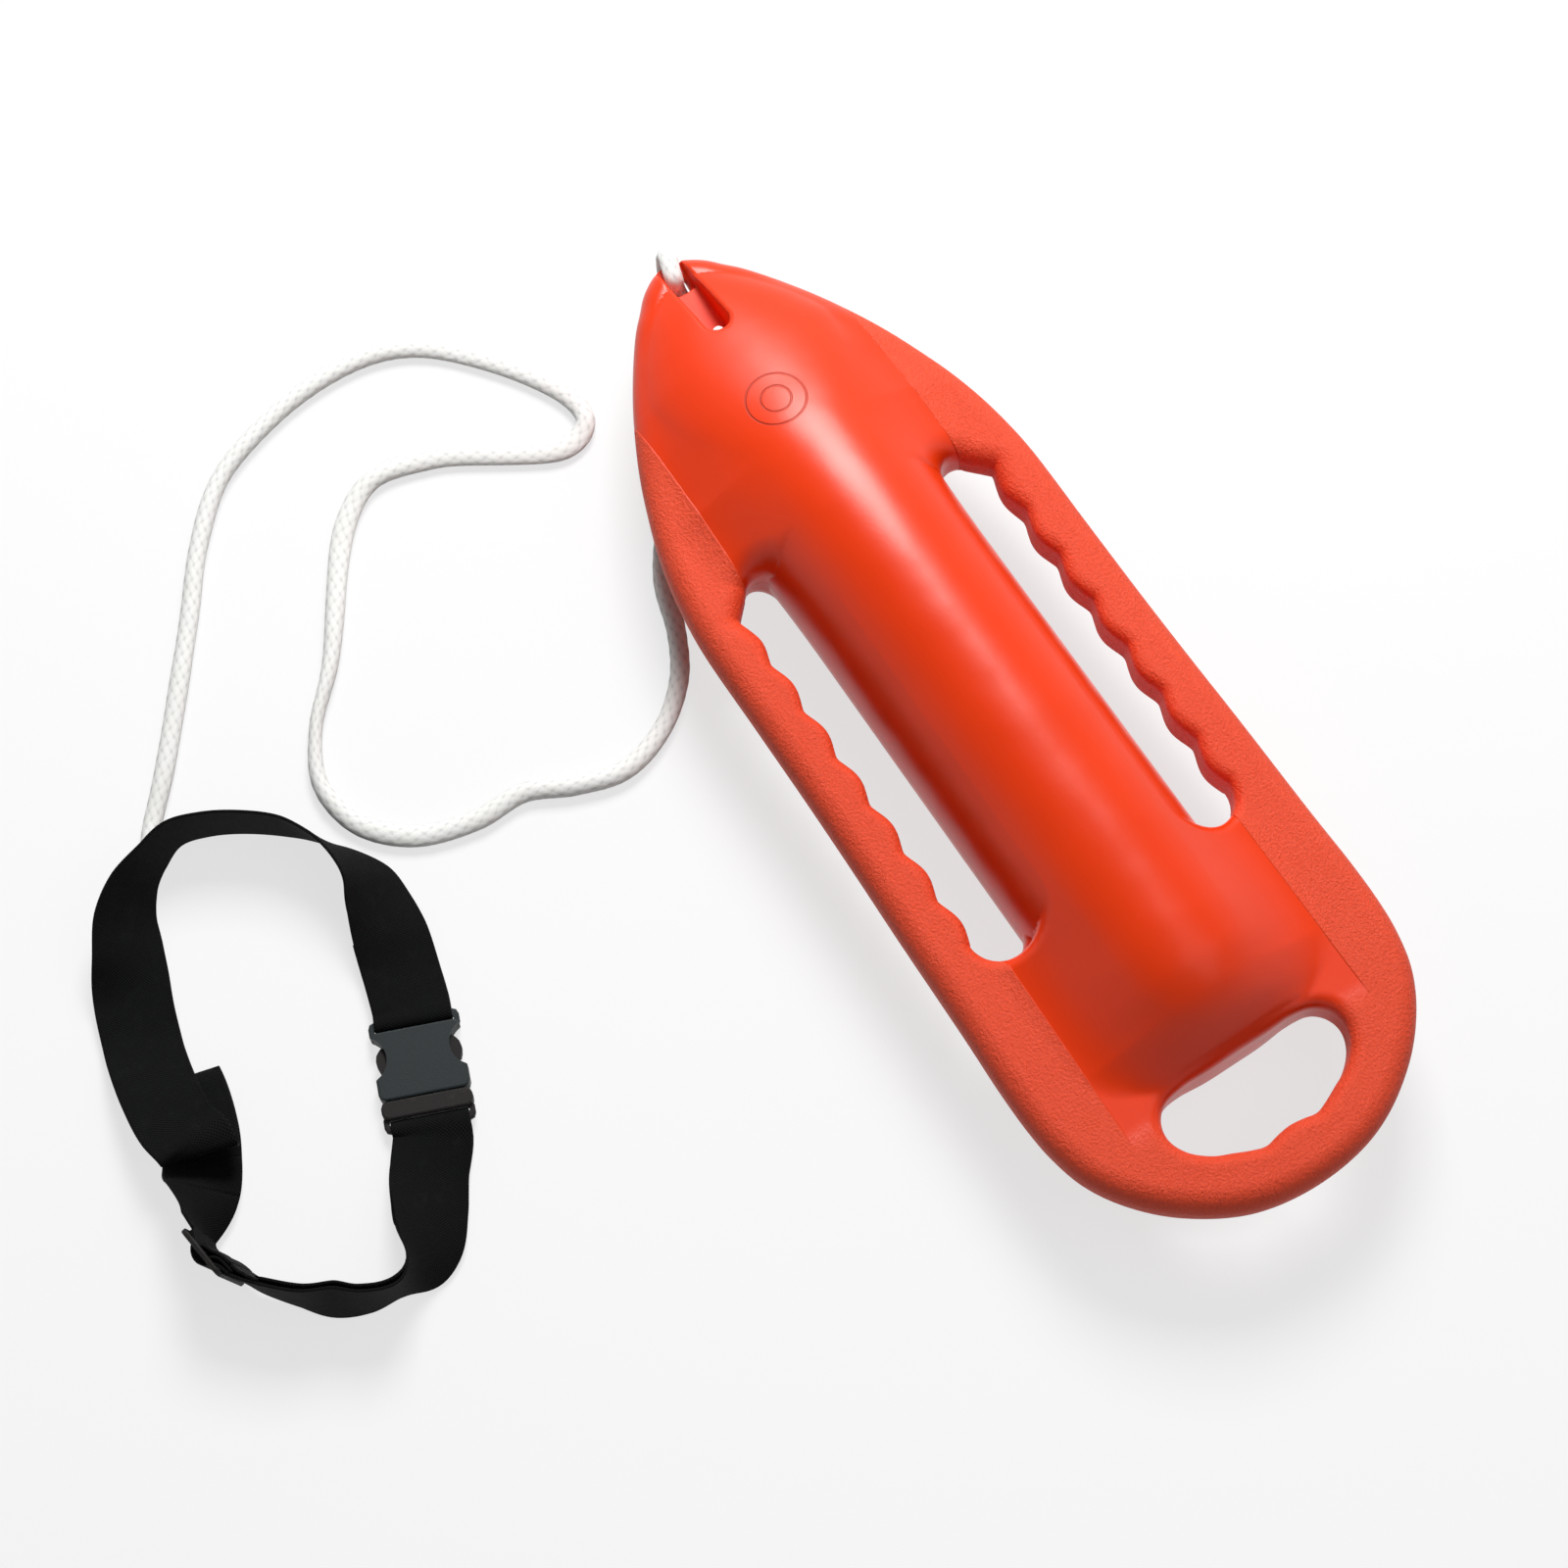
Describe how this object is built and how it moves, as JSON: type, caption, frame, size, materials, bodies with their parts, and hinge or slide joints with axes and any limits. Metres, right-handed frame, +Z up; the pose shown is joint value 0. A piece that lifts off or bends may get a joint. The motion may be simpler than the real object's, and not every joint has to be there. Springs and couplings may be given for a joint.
{
  "type": "rescue can buoy",
  "caption": "Torpedo-shaped hollow rescue float with side and rear hand holds, a tow rope and an adjustable webbing belt with a side-release buckle.",
  "frame": {"origin": "on the ground under the middle of the float, on the flat strip of its belly", "axes": "+X towards the float's nose, +Y to the float's left, where the belt lies, +Z up"},
  "size_m": [0.8019, 0.7046, 0.13],
  "materials": {
    "float": "glossy moulded skin on the body, fine grain on the wings and handles",
    "plug": "satin",
    "seal": "matte",
    "rope": "white hollow braid",
    "webbing": "woven black webbing",
    "buckle": "satin dark grey"
  },
  "bodies": {
    "float_and_belt": {"hull_shell": "float", "vent_plug": "plug", "vent_seal": "seal", "rope_nose_loop": "rope", "rope_nose_knot": "rope", "tow_rope": "rope", "rope_belt_knot": "rope", "rope_tab": "webbing", "strap_main": "webbing", "strap_adjust": "webbing", "buckle_socket": "buckle"},
    "tongue": {"buckle_tongue": "buckle", "strap_lower": "webbing"},
    "arm_left": {"buckle_arm_left": "buckle"},
    "arm_right": {"buckle_arm_right": "buckle"},
    "slider": {"slider": "buckle", "strap_end": "webbing"}
  },
  "joints": [
    {"name": "buckle_release", "type": "slide", "parent": "float_and_belt", "child": "tongue", "axis": [-0.9272, 0.3746, 0], "range_m": [0, 0.035], "deforming": ["buckle_arm_left", "buckle_arm_right", "strap_adjust"]},
    {"name": "arm_left_flex", "type": "hinge", "parent": "tongue", "child": "arm_left", "pos_m": [-0.01948, 0.38956, 0.0065], "axis": [0, 0, 1], "range_deg": [0, 11], "stiffness_Nm_per_rad": 0.6},
    {"name": "arm_right_flex", "type": "hinge", "parent": "tongue", "child": "arm_right", "pos_m": [-0.00397, 0.42794, 0.0065], "axis": [0, 0, -1], "range_deg": [0, 11], "stiffness_Nm_per_rad": 0.6},
    {"name": "slider_travel", "type": "slide", "parent": "tongue", "child": "slider", "axis": [0.9917, 0.1285, 0], "range_m": [0, 0.02], "deforming": ["strap_adjust"]}
  ],
  "couplings": [
    {"joint": "arm_right_flex", "follows": "arm_left_flex", "ratio": 1}
  ]
}
